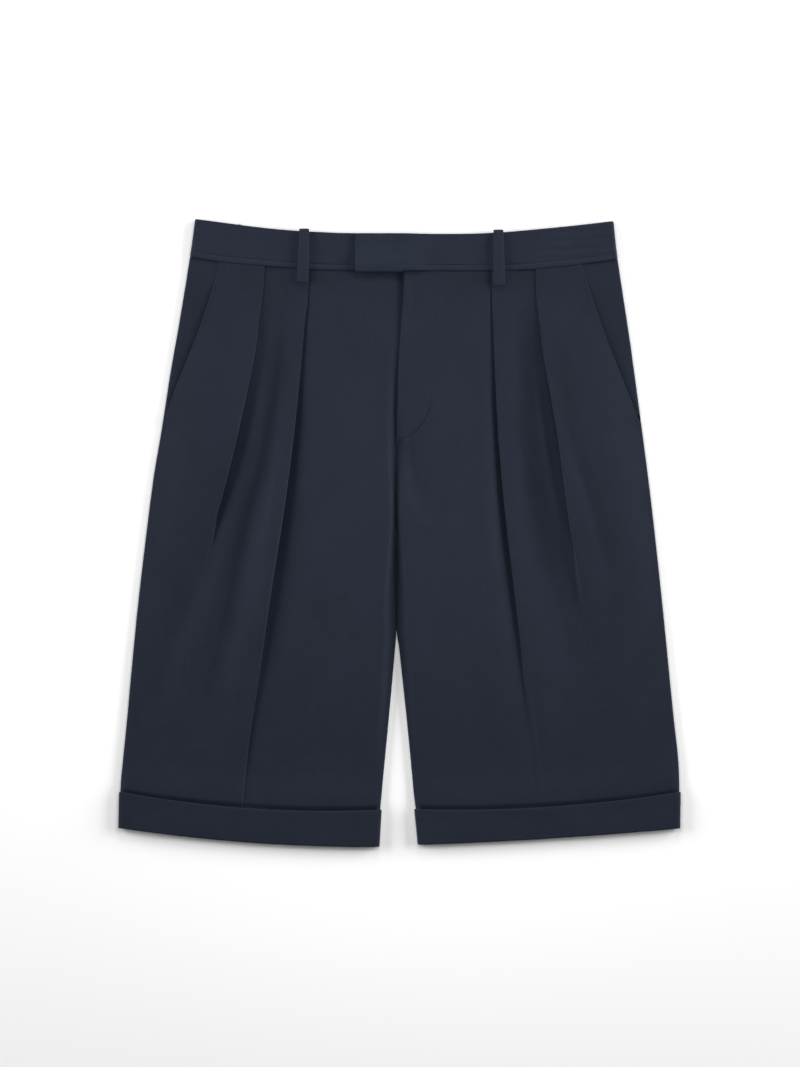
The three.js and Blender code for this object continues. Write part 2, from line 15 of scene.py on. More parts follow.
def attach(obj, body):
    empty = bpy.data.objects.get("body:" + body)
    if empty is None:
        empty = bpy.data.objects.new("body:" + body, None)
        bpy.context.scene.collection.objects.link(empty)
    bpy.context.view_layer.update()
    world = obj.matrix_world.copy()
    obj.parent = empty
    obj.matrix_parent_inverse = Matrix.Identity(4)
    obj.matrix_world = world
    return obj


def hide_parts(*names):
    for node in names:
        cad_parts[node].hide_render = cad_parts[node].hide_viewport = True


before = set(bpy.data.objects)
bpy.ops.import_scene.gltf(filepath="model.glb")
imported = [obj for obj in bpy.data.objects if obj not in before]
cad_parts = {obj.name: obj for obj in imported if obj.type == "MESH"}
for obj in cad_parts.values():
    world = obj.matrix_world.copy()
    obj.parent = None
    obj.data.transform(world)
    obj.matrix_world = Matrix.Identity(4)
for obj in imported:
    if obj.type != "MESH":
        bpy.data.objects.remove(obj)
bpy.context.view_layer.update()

MM = 0.001

# Cloth and layers, as in the solids, with the thinner real cloth on their faces
CLOTH = 0.7
BAND_CLOTH = 2.0
CUFF_CLOTH = 1.3
SEAM = 0.3
TUBE = 4.4
BAND_TUBE = 6.0
EDGE_LEVEL = 3.9
WAIST_LEVEL = 4.3
CUFF_LIFT = 1.5
BACK_LOOP_CLOTH = 1.2
LOOP_LIFT = BACK_LOOP_CLOTH + SEAM
EDGE_RADIUS = 1.6
TIGHT_RADIUS = 0.55
INSEAM_GAP = 0.06
CREVICE = 1.0
POCKET_GAPE = 0.35
POCKET_DEPTH = 0.3
FLY_STAND = 1.5
UNDERLAP_TOP = 2.4
UNDERLAP_FOOT = 6.2
FRONT_LOWEST = 1.6
CUFF_PUFF = 1.3
CUFF_DIP = {"left": 3.4, "right": 3.0}
CUFF_DIP_AT_SIDE = 0.66
CUFF_DIVE_RUN = 6.3
CUFF_DIVE_END = 0.2
CUFF_DIVE_POWER = 2.2
BACK_SHARE_OF_LIFT = 0.65

# Levels down the garment
WAIST_SEAM_Y = 262
BAND_HEIGHT = 37.4
POCKET_FOOT_Y = 108
FLY_FOOT_Y = 93
CROTCH_Y = -42
SPLIT_Y = -101
CENTRING = (0.5, 0.35)

# Rows of the fronts' meshes: closer round the foot of the fly and above the cuffs
ROW_STEP = 3.0
FINE_STEP = 1.1
FINE_TOP_Y = 128
FINE_FOOT_Y = 86
HEM_INSIDE_CUFF = 2.8

# Front closure
FLY_LAP = 10
TAB_DROP = 1.2
TAB_CURL = 2.6
TAB_DROOP = 0.7
TAB_END_X = -45
UNDER_TAB_DROP = 1.3
TAB_LIFT = BAND_CLOTH + SEAM

# Belt loops
LOOP_WIDTH = 11.5
FRONT_LOOP_CLOTH = 1.9
FRONT_LOOP_STAND = 1.4
LOOP_FLAT = 8
LOOP_FADE = 19
LOOPS = [
    {"name": "belt_loop_front_left", "x": -96.4, "front": True, "top": 1.4, "below": 12.4, "lean": 1.6},
    {"name": "belt_loop_front_right", "x": 98.6, "front": True, "top": 1.6, "below": 14.0, "lean": -0.9},
    {"name": "belt_loop_back_left", "x": -165, "front": False, "top": 0, "below": 13, "lean": 0},
    {"name": "belt_loop_back_centre", "x": 2.8, "front": False, "top": 0, "below": 13, "lean": 0},
    {"name": "belt_loop_back_right", "x": 165, "front": False, "top": 0, "below": 13, "lean": 0},
]

# Waist line: rows of (u, rise of the waist seam, rise of the top edge) over their heights in the middle
WAIST = {
    "left": [(210, 13.6, 15.0), (200, 11.8, 13.5), (176, 8.0, 10.3), (152, 5.8, 7.1), (128, 3.8, 4.4),
             (104, 2.0, 2.3), (82, 0.5, 1.1), (58, 0.0, 0.1), (0, -0.2, -0.3)],
    "right": [(217, 11.4, 12.6), (200, 8.6, 10.4), (185, 6.6, 8.7), (170, 4.5, 7.0), (155, 2.9, 5.5),
              (140, 1.6, 4.1), (125, 0.6, 2.7), (105, -0.1, 1.0), (75, -0.4, -0.5), (40, -0.4, -0.8),
              (0, -0.2, -0.3)],
}

# Centre front: rows of (y, x)
CENTRE = [(312, 4.2), (262, 4.0), (242, 3.8), (202, 0.9), (162, -1.6), (122, -2.6), (84, -3.8),
          (57, -4.2), (-101, -3.6)]

# Each side: u is the distance from x = 0 outwards, and rows run down the garment.
# A pleat's rows are (y, u of its edge, drop to the cloth beside it, overlap under the edge).
SIDES = {
    "left": {
        "sign": -1,
        "outline": [(312, 203), (262, 209.9), (202, 220.1), (152, 229.7), (102, 238.1), (53, 246.6),
                    (-67, 261), (-147, 268.6), (-197, 272.8), (-247, 277.4), (-265, 278.9), (-312, 280)],
        "inseam": [(CROTCH_Y, 4.0), (-97, 3.6), (-112, 4.6), (-137, 6.8), (-187, 11.3),
                   (-237, 16.1), (-262, 18.4), (-275, 19.6), (-312, 21.9)],
        "pocket": [(262, 180.5), (235, 187), (184, 204.8), (144, 222.5), (POCKET_FOOT_Y, 237.2)],
        "pleats": [
            [(262, 134.5, 1.2, 14), (232, 137, 1.5, 13), (210, 140.5, 2.9, 13), (177, 145, 5.6, 11),
             (97, 163, 8.6, 7), (17, 182.5, 5.2, -2), (-22, 191, 2.1, -7), (-67, 199, 0.8, -10),
             (-150, 207, 0.3, -14), (-312, 214, 0.15, -14)],
            [(262, 91, 0.9, 14), (232, 91.5, 0.9, 13), (210, 94.5, 1.8, 13), (177, 97.7, 2.9, 12),
             (97, 106.5, 6.8, 9), (17, 117.5, 9.0, 6), (-63, 130, 8.0, 2), (-143, 140.5, 3.8, 0),
             (-223, 152, 2.0, -1.5), (-312, 161, 0.5, -4)],
        ],
        "cuff_top": (-258.6, -276.4, 7.5),
        "cuff_foot": (-295, -313.5, 4.7),
        "grain": math.radians(-4),
    },
    "right": {
        "sign": 1,
        "outline": [(312, 212), (262, 217.5), (173, 231.5), (53, 248.3), (-67, 261.5), (-187, 272.8),
                    (-250, 278.6), (-312, 278.5)],
        "inseam": [(CROTCH_Y, -4.0), (-97, -3.6), (-112, -1.2), (-137, 1.5), (-187, 6.8),
                   (-237, 11.6), (-262, 13.9), (-275, 15.6), (-312, 19.2)],
        "pocket": [(262, 182), (235, 189.5), (184, 207.5), (144, 224.5), (POCKET_FOOT_Y, 240)],
        "pleats": [
            [(262, 135, 1.2, 14), (232, 136, 1.4, 13), (210, 139, 2.9, 13), (177, 143.5, 5.6, 11),
             (97, 158, 8.4, 7), (17, 168.5, 7.0, 1), (-67, 182, 2.8, -8), (-150, 200, 0.4, -14),
             (-312, 216, 0.15, -14)],
            [(262, 91, 0.9, 14), (232, 91.3, 0.9, 13), (210, 92.5, 1.6, 13), (177, 94, 2.5, 12),
             (97, 98.5, 5.6, 9), (17, 106, 7.6, 5), (-63, 115, 5.2, 1), (-143, 123.5, 1.9, -2),
             (-223, 134.5, 0.8, -4), (-312, 141, 0.3, -6)],
        ],
        "cuff_top": (-258.8, -275.8, 6.2),
        "cuff_foot": (-295.2, -311.3, 1.8),
        "grain": math.radians(3),
    },
}

# Swell of a front beside the centre: rows of (y, height over the level of its edges)
SWELL = [(262, 0.2), (225, 1.0), (177, 2.6), (97, 4.0), (17, 4.6), (-63, 4.2), (-143, 3.0),
         (-223, 1.4), (-312, 0.2)]
RIDGE_SHARE = 0.7
SLOPE_WIDTH = {"left": 36, "right": 27}
# Width over which a front rounds down to its inner edge: rows of (y, width)
ROLL = [(262, 9), (100, 9), (70, 7), (22, 4.5), (-28, 7), (-78, 11), (-180, 9), (-312, 9)]
FLY_ROLL = 16
# Rise of the inner edges, where the seat seam holds the legs together: rows of (y, rise)
SEAT_RISE = [(262, 0), (110, 2.0), (70, 3.2), (22, 3.8), (-28, 1.8), (-78, 0.2), (-101, 0), (-312, 0)]

# Rise of a front over its whole width, where the laid leg holds air: rows of (y, rise)
PUFF = [(262, 0), (232, 0.2), (190, 1.4), (130, 2.7), (60, 3.3), (-60, 3.1), (-150, 1.9),
        (-225, 0.4), (-312, 0)]
PUFF_SHARE = {"left": 1.35, "right": 1.15}

# Soft troughs and ridges in the fronts: each with its half width outwards and inwards, its
# height in the middle and rows of (y, u) down it
DRAPES = {
    "left": [
        (10, 17, -6.4, [(245, 113), (200, 117), (160, 122), (122, 128), (72, 135), (22, 149), (-28, 162),
         (-78, 171), (-128, 184), (-220, 201)]),
        (9, 9, -1.6, [(150, 156), (97, 168), (40, 180), (0, 190), (-60, 203)]),
        (13, 13, -4.0, [(60, 178), (-7, 193), (-77, 214), (-117, 227), (-200, 244)]),
        (5, 5, 0.8, [(165, 138), (122, 144), (72, 155), (22, 166), (-25, 180)]),
        (10, 10, -0.8, [(120, 92), (33, 104), (-60, 116), (-150, 128), (-230, 136)]),
        (26, 26, 1.2, [(150, 50), (60, 52), (-30, 58), (-110, 64)]),
        (12, 12, 0.6, [(190, 196), (120, 206), (20, 222), (-90, 240)]),
        (8, 8, 0.8, [(-30, 138), (-110, 152), (-190, 168), (-250, 178)]),
        (12, 12, -0.5, [(-120, 70), (-180, 78), (-255, 82)]),
        (16, 16, -0.5, [(230, 62), (180, 66), (120, 64)]),
    ],
    "right": [
        (12, 12, -2.4, [(225, 95), (143, 98), (83, 102), (33, 106), (-60, 117), (-140, 128)]),
        (10, 15, -3.0, [(225, 122), (143, 129), (83, 136), (33, 145), (-27, 163), (-78, 180), (-128, 194)]),
        (10, 18, -4.0, [(130, 114), (83, 121), (23, 134), (-27, 147), (-78, 159), (-140, 174)]),
        (4.5, 4.5, 1.4, [(165, 134), (122, 139), (72, 147), (22, 157), (-15, 166)]),
        (8, 8, -2.6, [(200, 152), (123, 165), (73, 177), (20, 194), (-60, 212)]),
        (8, 8, -0.6, [(120, 86), (33, 95), (-60, 104), (-150, 118), (-220, 128)]),
        (4.5, 4.5, -1.1, [(-135, 132), (-177, 136), (-227, 141), (-270, 144)]),
        (26, 26, 1.2, [(150, 48), (60, 50), (-30, 56), (-110, 62)]),
        (14, 14, 0.6, [(190, 188), (110, 206), (10, 226), (-90, 244)]),
        (12, 12, -3.2, [(112, 2), (85, 8), (60, 14), (10, 28)]),
        (7, 7, -0.5, [(250, 32), (210, 27), (150, 22)]),
    ],
}

# Fly stitching: from the bartack at the foot of the fly, round and up beside it to the waistband
FLY_STITCH = [(-1, 93), (5, 94), (11, 97), (16, 101), (19, 104), (23, 110), (27, 116), (29, 122),
              (31, 134), (32.5, 160), (34, 200), (36, 240), (37, 260)]
GROOVE_DEPTH = 0.8
GROOVE_FAINT = 0.04
GROOVE_WIDTH = 0.9

# Tones of the cloth, as linear colours
NAVY = (0.0092, 0.0122, 0.0212, 1)
NAVY_LIGHT = (0.0120, 0.0156, 0.0264, 1)
NAVY_DEEP = (0.0070, 0.0094, 0.0168, 1)
THREAD_NAVY = (0.0030, 0.0038, 0.0064, 1)
THREAD_LIGHT = (0.0060, 0.0076, 0.0124, 1)


def lerp(a, b, t):
    return a + (b - a) * t


def smoothstep(x, low, high):
    t = min(max((x - low) / (high - low), 0.0), 1.0)
    return t * t * (3 - 2 * t)


def column(rows, index=1):
    """Value of one column of a table at any y, by a smooth curve through its rows."""
    ys = [row[0] for row in rows]
    values = [row[index] for row in rows]
    last = len(rows) - 1
    slopes = []
    for i in range(len(rows)):
        a, b = max(i - 1, 0), min(i + 1, last)
        slopes.append((values[b] - values[a]) / (ys[b] - ys[a]))

    def at(y):
        i = 0
        while i < last - 1 and y < ys[i + 1]:
            i += 1
        span = ys[i + 1] - ys[i]
        t = (y - ys[i]) / span
        if t <= 0:
            return values[i]
        if t >= 1:
            return values[i + 1]
        t2, t3 = t * t, t * t * t
        return (
            (2 * t3 - 3 * t2 + 1) * values[i]
            + (t3 - 2 * t2 + t) * span * slopes[i]
            + (3 * t2 - 2 * t3) * values[i + 1]
            + (t3 - t2) * span * slopes[i + 1]
        )

    return at


class Side:
    """One side of the garment: its outlines as functions of y, from the tables."""

    def __init__(self, name, table):
        self.name = name
        self.sign = table["sign"]
        self.outline = column(table["outline"])
        self.inseam = column(table["inseam"])
        self.swell = column(SWELL)
        self.puff = column(PUFF)
        self.roll = column(ROLL)
        self.seat_rise = column(SEAT_RISE)
        self.seam_rise = column(WAIST[name], 1)
        self.top_rise = column(WAIST[name], 2)
        self.pocket = column(table["pocket"])
        centre = column(CENTRE)
        self.centre = lambda y: self.sign * centre(y)
        self.pleats = [tuple(column(rows, i) for i in (1, 2, 3)) for rows in table["pleats"]]
        self.cuff_top = table["cuff_top"]
        self.cuff_foot = table["cuff_foot"]
        self.drapes = [
            (column(line), (line[0][0], line[-1][0]), (outwards, inwards), rise)
            for outwards, inwards, rise, line in DRAPES[name]
        ]

    def inner(self, y):
        """Inner edge: the centre seam down to the crotch, then the inseam."""
        return lerp(self.inseam(y), self.centre(y), smoothstep(y, CROTCH_Y, CROTCH_Y + 50))

    def across(self, u, y):
        """How far across the leg a point lies, from 0 at the side to 1 at the inseam."""
        outer = self.outline(y)
        return min(max((outer - u) / (outer - self.inseam(y)), 0.0), 1.0)

    def warp(self, u, y):
        """True y of a point on the row at level y: rows follow the waist above and the hem below."""
        waist = self.seam_rise(u) * smoothstep(y, 60, WAIST_SEAM_Y)
        s = self.across(u, y)
        top, foot = self.cuff_top[1], self.cuff_foot[1]
        top_shift = hem_curve(self.cuff_top, s) - top
        foot_shift = hem_curve(self.cuff_foot, s) - foot
        if y < top:
            return y + lerp(top_shift, foot_shift, (top - y) / (top - foot))
        return y + waist + top_shift * min(max((60 - y) / (60 - top), 0.0), 1.0) ** 2

    def cuff_lift(self, y):
        """A leg rises on to its cuff just above the cuff's top edge."""
        return CUFF_LIFT * smoothstep(self.cuff_top[1] - y, -14, -3)

    def cuff_dip(self, u, y):
        """A front swells above the cuff, dives behind its top edge and rises to its level inside."""
        inside = self.cuff_top[1] - y
        dip = CUFF_DIP[self.name]
        dip *= lerp(CUFF_DIP_AT_SIDE, 1, smoothstep(self.across(u, y), 0, 0.5))
        dive = (inside + CUFF_DIVE_END + CUFF_DIVE_RUN) / CUFF_DIVE_RUN
        dive = min(max(dive, 0), 1) ** CUFF_DIVE_POWER
        swell = CUFF_PUFF * smoothstep(inside, -40, -12) - dip * dive
        return swell + (CUFF_LIFT + dip - CUFF_PUFF) * smoothstep(inside, 1, 10)


def hem_curve(hem, s):
    outer, inner, sag = hem
    return lerp(outer, inner, s) - 4 * sag * s * (1 - s)


def loop_lift(x, y):
    """The back rises over the belt loops that lie under it."""
    share = 0.0
    for loop in LOOPS:
        if loop["front"]:
            continue
        low_end = WAIST_SEAM_Y - loop["below"]
        near = 1 - smoothstep(abs(x - loop["x"]), LOOP_FLAT, LOOP_FADE)
        share = max(share, near * smoothstep(y, low_end - 14, low_end - 2))
    return LOOP_LIFT * share


# Sections are drawn in the plane across the garment, as points (p, z) with p running inwards.


def bend(angle, corners=6):
    """Corners of a bend of unit radius, which starts level and turns down by an angle."""
    half = angle / corners / 2
    points = [(0.0, 0.0)]
    for k in range(corners):
        turn = (2 * k + 1) * half
        points.append((math.sin(turn) / math.cos(half), math.cos(turn) / math.cos(half) - 1))
    points.append((math.sin(angle), math.cos(angle) - 1))
    return points


def fold_path(start, crest, drop, overlap):
    """The S of a fold: over its edge, back under it, and on along the cloth beside it."""
    softest = 4.0
    run = min(overlap, 0)
    radius = min(softest, 0.92 * (run * run + drop * drop) / (4 * drop))
    down = 2 * radius - drop
    turn = math.asin(min(1.0, 2 * radius / math.hypot(overlap, down))) - math.atan2(down, -overlap)
    corners = [(radius * p, radius * z) for p, z in bend(turn)]
    over = [(start + p, crest + z) for p, z in corners]
    under = [(start - overlap - p, crest - drop - z) for p, z in corners]
    return over + under[::-1]


def eased(t):
    return smoothstep(t, 0, 1)


def early(t):
    """A climb that is steep at its start."""
    return 1 - (1 - t) ** 3


def late(t):
    """A climb that is steep at its end."""
    return t**3.2


def bridge(a, b, count, climb=eased):
    """Points strictly between two others, whose height changes by a climb from 0 to 1."""
    steps = [(k + 1) / (count + 1) for k in range(count)]
    return [(lerp(a[0], b[0], t), lerp(a[1], b[1], climb(t))) for t in steps]


def turned_edge(end, z, angle, inwards, rise=-1, radius=EDGE_RADIUS, thickness=CLOTH):
    """A cloth edge from its flat to its end, turned down by an angle (or up, if rise is 1)."""
    turn = max(angle, 0.02)
    radius = radius * (math.pi / 2) / turn
    last = end - inwards * (thickness / 2) * math.sin(angle)
    width = radius * math.sin(turn)
    return [(last - inwards * (width - radius * p), z - rise * radius * d) for p, d in bend(turn)]


def front_level(y):
    """Middle of the front cloth: lower where it is sewn to the waistband."""
    return lerp(EDGE_LEVEL, WAIST_LEVEL, smoothstep(y, 236, WAIST_SEAM_Y))


def front_section(side, y):
    """One row of a front panel, from its side edge to its centre."""
    level = front_level(y)
    above_cuff = smoothstep(y, -262, -190)
    laps = side.sign < 0

    on_panel = smoothstep(y, POCKET_FOOT_Y - 6, POCKET_FOOT_Y + 6)
    gape = POCKET_GAPE * math.sin(math.pi * min(max((y - 112) / 124, 0), 1)) ** 0.6
    pocket_level = TUBE + SEAM + CLOTH / 2 + gape
    side_edge = turned_edge(
        lerp(-side.outline(y), -side.pocket(y), on_panel),
        lerp(EDGE_LEVEL, pocket_level, on_panel),
        math.pi / 2,
        -1,
        radius=lerp(EDGE_RADIUS, TIGHT_RADIUS, on_panel),
    )[::-1]

    in_fly = smoothstep(y, FLY_FOOT_Y - 9, FLY_FOOT_Y)
    turn_share = lerp(0.42, 1, smoothstep(-y, 6 - FLY_FOOT_Y, -CROTCH_Y))
    crevice = CREVICE * smoothstep(y, SPLIT_Y - 6, SPLIT_Y + 30) * smoothstep(-y, -60, 50)
    centre = -side.inner(y) - INSEAM_GAP / 2 - crevice
    stand = smoothstep(y, FLY_FOOT_Y, 125) * (1 - 0.3 * smoothstep(y, 235, WAIST_SEAM_Y))
    if laps:
        fly_level = lerp(UNDERLAP_FOOT, UNDERLAP_TOP, smoothstep(y, 180, 250))
        end = centre + FLY_LAP * in_fly
        angle, radius = lerp(math.pi / 2 * turn_share, 0, in_fly), EDGE_RADIUS
    else:
        fly_level = TUBE + 0.3 + FLY_STAND * stand
        end = centre
        angle = math.pi / 2 * lerp(turn_share, 1, in_fly)
        radius = lerp(EDGE_RADIUS, TIGHT_RADIUS, in_fly)
    seam_level = EDGE_LEVEL + side.seat_rise(y)
    centre_edge = turned_edge(end, lerp(seam_level, fly_level, in_fly), angle, 1, radius=radius)

    folds = []
    for edge_at, drop_at, overlap_at in side.pleats:
        drop, overlap = drop_at(y), overlap_at(y)
        crest = level + above_cuff * drop * RIDGE_SHARE
        start = -edge_at(y) - 1.2 + min(overlap, 0) / 4
        path = fold_path(start, crest, drop, overlap)
        landing = max(start + 2.4, path[-1][0] + 1.5)
        lead = min(start - 3, path[-1][0] - 3)
        folds.append(((lead, crest), path, (landing, crest - drop)))
    (lead_a, path_a, land_a), (lead_b, path_b, land_b) = folds
    swell = side.swell(y) * above_cuff
    approach = (min(centre_edge[0][0] - 0.5, centre - 1.0), centre_edge[0][1])
    lapped = in_fly if laps else 0.0
    roll = lerp(side.roll(y), FLY_ROLL, smoothstep(y, 150, 245) * lapped)
    plateau_end = (approach[0] - roll, level + swell)
    slope_width = SLOPE_WIDTH[side.name] * lerp(1, 0.15, smoothstep(y, 150, 245))
    slope_width *= lerp(1, 1.4, smoothstep(-y, -10, 70))
    plateau_start = (
        min(land_b[0] + slope_width, plateau_end[0] - 10),
        level + 0.9 * swell,
    )

    return (
        side_edge
        + bridge(side_edge[-1], lead_a, 24, early)
        + [lead_a]
        + path_a
        + [land_a]
        + bridge(land_a, lead_b, 16, late)
        + [lead_b]
        + path_b
        + [land_b]
        + bridge(land_b, plateau_start, 12, early)
        + [plateau_start]
        + bridge(plateau_start, plateau_end, 40)
        + [plateau_end]
        + bridge(plateau_end, approach, 14, lambda t: lerp(eased(t), t**1.7, lapped))
        + [approach]
        + centre_edge
    )


def back_section(side, y):
    """One row of a back panel: flat on the floor, its edges turned up to meet the front."""
    level = CLOTH / 2
    side_edge = turned_edge(-side.outline(y), level, math.pi / 2, -1, 1)[::-1]
    turn_share = smoothstep(-y, -CROTCH_Y - 50, -CROTCH_Y)
    end = -side.inner(y) - INSEAM_GAP / 2
    centre_edge = turned_edge(end, level, math.pi / 2 * turn_share, 1, 1)
    return side_edge + bridge(side_edge[-1], centre_edge[0], 62) + centre_edge


def side_panel_section(side, y):
    """One row of the side panel behind a slant pocket, from the side to under the front's edge."""
    side_edge = turned_edge(-side.outline(y), EDGE_LEVEL, math.pi / 2, -1)[::-1]
    underlap = lerp(4, 14, smoothstep(y, POCKET_FOOT_Y, 180))
    mouth = (-side.pocket(y), EDGE_LEVEL + lerp(-POCKET_DEPTH, 0.3, smoothstep(y, 232, 242)))
    end = (mouth[0] + underlap, mouth[1])
    return side_edge + bridge(side_edge[-1], mouth, 14, late) + [mouth, end]


def distance_to_path(path, x, y):
    nearest = 1e9
    for (xa, ya), (xb, yb) in zip(path, path[1:]):
        dx, dy = xb - xa, yb - ya
        t = min(max(((x - xa) * dx + (y - ya) * dy) / (dx * dx + dy * dy), 0), 1)
        nearest = min(nearest, math.hypot(x - xa - t * dx, y - ya - t * dy))
    return nearest


def fly_groove(side, u, y):
    """The fly's stitching draws the right front's cloth down in a narrow groove."""
    if side.sign < 0 or u > 42 or y < 86:
        return 0.0
    depth = lerp(GROOVE_DEPTH, GROOVE_FAINT, smoothstep(y, 118, 150))
    return -depth * math.exp(-((distance_to_path(FLY_STITCH, u, y) / GROOVE_WIDTH) ** 2))


def stroke(side, u, y):
    """Height of the troughs and ridges listed for a front."""
    rise = 0.0
    for line, (top, foot), (outer_width, inner_width), height in side.drapes:
        t = (top - y) / (top - foot)
        if 0 < t < 1:
            away = u - line(y)
            away /= outer_width if away > 0 else inner_width
            rise += height * math.exp(-away * away) * math.sin(math.pi * t) ** 0.7
    return rise


def ripple(x, y, seed, across=42.0, along=120.0, fine=0.25):
    """Slow unevenness of laid cloth, longer down the leg than across it, from -1 to 1."""
    slow = noise.noise(Vector((x / across, y / along, seed)))
    quick = noise.noise(Vector((x / (across * 0.38), y / (along * 0.3), seed + 7.3)))
    return slow + fine * quick


def edge_fade(side, u, y):
    """0 at the edges of a leg, where the cloth is held by its seams, and 1 inside."""
    from_side = smoothstep(side.outline(y) - u, 3, 20)
    return from_side * smoothstep(u - side.inner(y), 3, 18)


def leg_puff(side, u, y):
    """Rise of the laid leg between its edges; the upper layer of the fly keeps it to its edge."""
    from_side = smoothstep(side.outline(y) - u, 0, 45)
    to_centre = smoothstep(u - side.inner(y), 0.3, 1.3 * side.roll(y))
    if side.sign > 0:
        to_centre = lerp(to_centre, 1, smoothstep(y, FLY_FOOT_Y - 9, FLY_FOOT_Y))
    return PUFF_SHARE[side.name] * side.puff(y) * from_side * to_centre


def front_raise(side, u, y):
    past_tab = smoothstep(u, -TAB_END_X - 1, -TAB_END_X + 7) if side.sign < 0 else 1
    under_tab = -UNDER_TAB_DROP * (1 - past_tab) * smoothstep(y, 248, 258)
    crotch_pull = 0.35 * math.exp(-(((u - 14) / 14) ** 2)) * math.exp(-(((y - 84) / 16) ** 2))
    seam_pucker = 0.16 * math.sin(u * 0.47 + 2 * math.sin(u * 0.11)) * smoothstep(y, 225, 258)
    soft = stroke(side, u, y) + 0.5 * ripple(side.sign * u, y, 3.1) - crotch_pull + seam_pucker
    held = smoothstep(y, side.cuff_top[1] - 2, side.cuff_top[1] + 40)
    held *= 1 - 0.8 * smoothstep(y, 205, WAIST_SEAM_Y)
    fade = edge_fade(side, u, y)
    near_edge = smoothstep(side.outline(y) - u, 1, 6) * smoothstep(u - side.inner(y), 1, 6)
    lift = lerp(side.cuff_lift(y), side.cuff_dip(u, y), near_edge)
    return lift + soft * held * fade + leg_puff(side, u, y) + fly_groove(side, u, y) + under_tab


def back_raise(side, u, y):
    """The back lies on the floor: it only lifts, in a few soft places."""
    crease = 0.25 * math.exp(-abs(u - lerp(150, 112, smoothstep(y, -312, 262))) / 2.6)
    soft = max(0.0, 0.4 * ripple(side.sign * u, y, 11.7, 60, 150) - 0.05) + crease
    held = smoothstep(y, side.cuff_top[1], side.cuff_top[1] + 30)
    held *= 1 - smoothstep(y, 200, 250)
    lift = loop_lift(side.sign * u, y) + side.cuff_lift(y)
    return lift + soft * held * edge_fade(side, u, y)


def panel_raise(side, u, y):
    return 0.12 * ripple(side.sign * u, y, 23.9, 20, 60)


def offset_section(points, thickness):
    """Both faces of a wall whose middle runs through the points of a section."""
    widest_miter = 1.3
    middle = np.array(points)
    steps = np.diff(middle, axis=0)
    steps /= np.maximum(np.linalg.norm(steps, axis=1, keepdims=True), 1e-9)
    before = np.vstack([steps[:1], steps])
    after = np.vstack([steps, steps[-1:]])
    along = before + after
    along /= np.maximum(np.linalg.norm(along, axis=1, keepdims=True), 1e-9)
    cosine = np.maximum((along * before).sum(axis=1), 0.01)
    reach = thickness / 2 * np.minimum(1 / cosine, widest_miter)
    normal = np.stack([-along[:, 1], along[:, 0]], axis=1) * reach[:, None]
    return middle + normal, middle - normal


def grid_faces(rows, columns, offset, flip):
    quads = []
    for j in range(rows - 1):
        for i in range(columns - 1):
            a = offset + j * columns + i
            quad = (a, a + 1, a + columns + 1, a + columns)
            quads.append(quad[::-1] if flip else quad)
    return quads


def wall(outer, inner):
    """Vertices and faces of a closed wall between two matching grids of points."""
    rows, columns = outer.shape[:2]
    size = rows * columns
    vertices = np.vstack([outer.reshape(-1, 3), inner.reshape(-1, 3)])
    faces = grid_faces(rows, columns, 0, False) + grid_faces(rows, columns, size, True)
    for j in range(rows - 1):
        a, b = j * columns, (j + 1) * columns
        faces.append((a, b, size + b, size + a))
        a, b = a + columns - 1, b + columns - 1
        faces.append((b, a, size + a, size + b))
    for i in range(columns - 1):
        faces.append((i + 1, i, size + i, size + i + 1))
        a = (rows - 1) * columns + i
        faces.append((a, a + 1, size + a + 1, size + a))
    return vertices, faces


def outward(vertices, faces):
    """The faces, turned round if they face into the solid."""
    volume = 0.0
    for face in faces:
        a, b, c = (vertices[face[i]] for i in (0, 1, 2))
        volume += np.dot(a, np.cross(b, c))
        if len(face) == 4:
            d = vertices[face[3]]
            volume += np.dot(a, np.cross(c, d))
    return faces if volume > 0 else [face[::-1] for face in faces]


def make_piece(name, vertices, faces, material, sharp=40):
    """A mesh object in metres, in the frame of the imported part."""
    placed = (np.asarray(vertices, dtype=float) + (*CENTRING, 0.0)) * MM
    mesh = bpy.data.meshes.new(name)
    mesh.from_pydata(placed.tolist(), [], [tuple(int(i) for i in f) for f in outward(placed, faces)])
    mesh.update()
    mesh.shade_smooth()
    mesh.set_sharp_from_angle(angle=math.radians(sharp))
    mesh.materials.append(material)
    piece = bpy.data.objects.new(name, mesh)
    bpy.context.scene.collection.objects.link(piece)
    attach(piece, "root")
    return piece


def dress(name, walls, material):
    """The cloth that is drawn in place of a solid."""
    piece = make_piece(f"{name}_cloth", *walls, material)
    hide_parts(name)
    return piece


def no_lower(z, lowest, softness=0.4):
    """A height that nears its lowest value softly and never goes below it."""
    return lowest + softness * math.log1p(math.exp(min((z - lowest) / softness, 60)))


def panel(side, levels, section, thickness, lift, lowest=0.0):
    """The two faces of a panel that runs through sections at the given levels."""
    faces = ([], [])
    for y in levels:
        middle = [(p, z + lift(side, -p, y)) for p, z in section(side, y)]
        if lowest:
            over_back = lowest + BACK_SHARE_OF_LIFT * side.cuff_lift(y)
            middle = [(p, no_lower(z, over_back)) for p, z in middle]
        for rows, points in zip(faces, offset_section(middle, thickness)):
            row = [
                (-side.sign * p, side.warp(-m[0], y), z) for (p, z), m in zip(points, middle)
            ]
            rows.append(row)
    return np.array(faces[0]), np.array(faces[1])


def levels_between(top, foot, step, marks=()):
    """Levels from top down to foot, about a step apart, with the marks among them."""
    levels = list(np.linspace(top, foot, max(2, round((top - foot) / step) + 1)))
    for mark in marks:
        nearest = min(range(1, len(levels) - 1), key=lambda i: abs(levels[i] - mark))
        levels[nearest] = mark
    return levels


# Materials


